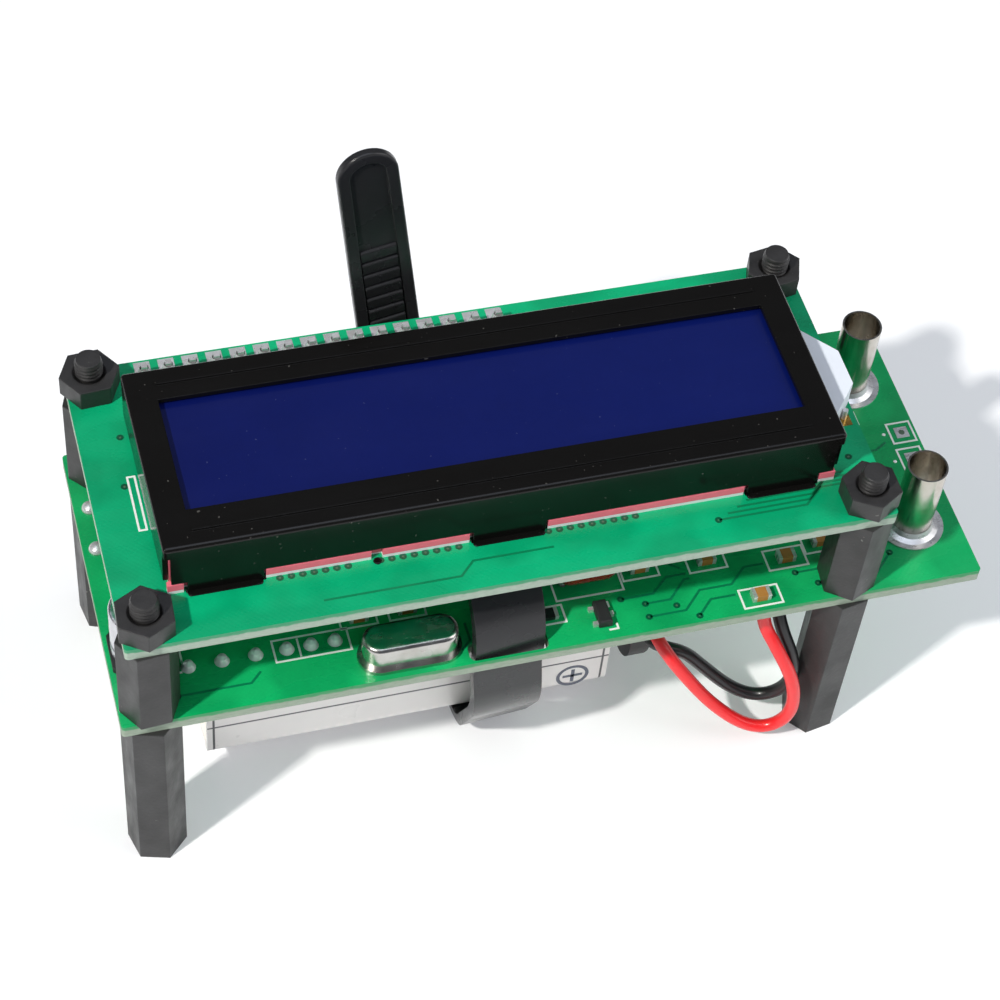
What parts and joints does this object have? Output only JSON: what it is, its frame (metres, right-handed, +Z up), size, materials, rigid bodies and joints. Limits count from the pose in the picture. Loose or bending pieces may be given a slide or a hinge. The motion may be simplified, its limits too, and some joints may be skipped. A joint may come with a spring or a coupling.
{
  "type": "component_tester",
  "caption": "Component tester: bezelled two-line display stacked on a longer main board with tube test terminals, on hex legs, with a nine-volt battery strapped underneath.",
  "frame": {"origin": "Centre of the four legs' threaded holes, on the surface the legs stand on", "axes": "+X along the boards towards the test terminals, +Y away from the viewer towards the strap's tail, +Z up"},
  "size_m": [0.0932, 0.0449, 0.061],
  "materials": {
    "nylon": "satin black nylon",
    "board": "green solder mask on glass laminate",
    "black_steel": "semi-gloss black paint",
    "pink_rubber": "matt",
    "white_plastic": "white, slightly translucent",
    "film": "dark blue film",
    "cell_glass": "clear",
    "tin": "tinned",
    "nickel": "nickel plate",
    "aluminium": "bright drawn can",
    "red_resin": "dipped epoxy",
    "black_plastic": "moulded",
    "black_rubber": "moulded vinyl",
    "chip_body": "matt",
    "battery_jacket": "plain printed jacket",
    "red_wire": "PVC insulation",
    "black_wire": "PVC insulation"
  },
  "bodies": {
    "frame": {"leg_front_left": "nylon", "leg_front_right": "nylon", "leg_back_left": "nylon", "leg_back_right": "nylon", "spacer_front_left": "nylon", "spacer_front_right": "nylon", "spacer_back_left": "nylon", "spacer_back_right": "nylon", "top_nuts": "nylon", "display_board": "board", "main_board": "board", "display_bezel": "black_steel", "contact_strips": "pink_rubber", "strip_insulators": "white_plastic", "backlight_panel": "white_plastic", "diffuser_sheet": "white_plastic", "rear_polariser": "film", "rear_glass": "cell_glass", "front_glass": "cell_glass", "front_polariser": "film", "backlight_pins": "tin", "controller_drops": "black_plastic", "header_pins": "tin", "header_strip": "black_plastic", "header_socket": "black_plastic", "socket_tails": "tin", "header_solder": "tin", "test_terminal_front": "nickel", "test_terminal_back": "nickel", "terminal_pads": "tin", "terminal_solder": "tin", "crystal_base": "nickel", "crystal_can": "nickel", "film_capacitor": "red_resin", "film_capacitor_leads": "tin", "electrolytic_base": "black_plastic", "electrolytic_can": "aluminium", "microcontroller": "black_plastic", "microcontroller_leads": "tin", "voltage_regulator": "black_plastic", "regulator_leads": "tin", "switching_diode": "black_plastic", "diode_leads": "tin", "chip_resistors": "chip_body", "chip_capacitors": "chip_body", "chip_end_caps": "tin", "front_solder_joints": "tin", "power_switch_body": "nickel", "power_switch_pins": "tin", "link_header": "black_plastic", "link_pins": "tin", "battery_case": "battery_jacket", "battery_terminals": "nickel", "snap_contacts": "nickel", "battery_snap_cap": "black_rubber", "red_lead": "red_wire", "black_lead": "black_wire", "battery_strap": "black_plastic"},
    "switch_slider": {"power_switch_slider": "black_plastic"},
    "release_pawl": {"strap_pawl": "black_plastic"}
  },
  "joints": [
    {"name": "power_switch", "type": "slide", "parent": "frame", "child": "switch_slider", "axis": [1, 0, 0], "range_m": [0, 0.0028]},
    {"name": "strap_release", "type": "hinge", "parent": "frame", "child": "release_pawl", "pos_m": [-0.00286, 0.0207, 0.02475], "axis": [0.9974, 0.0715, 0], "range_deg": [0, 10], "stiffness_Nm_per_rad": 0.02}
  ]
}
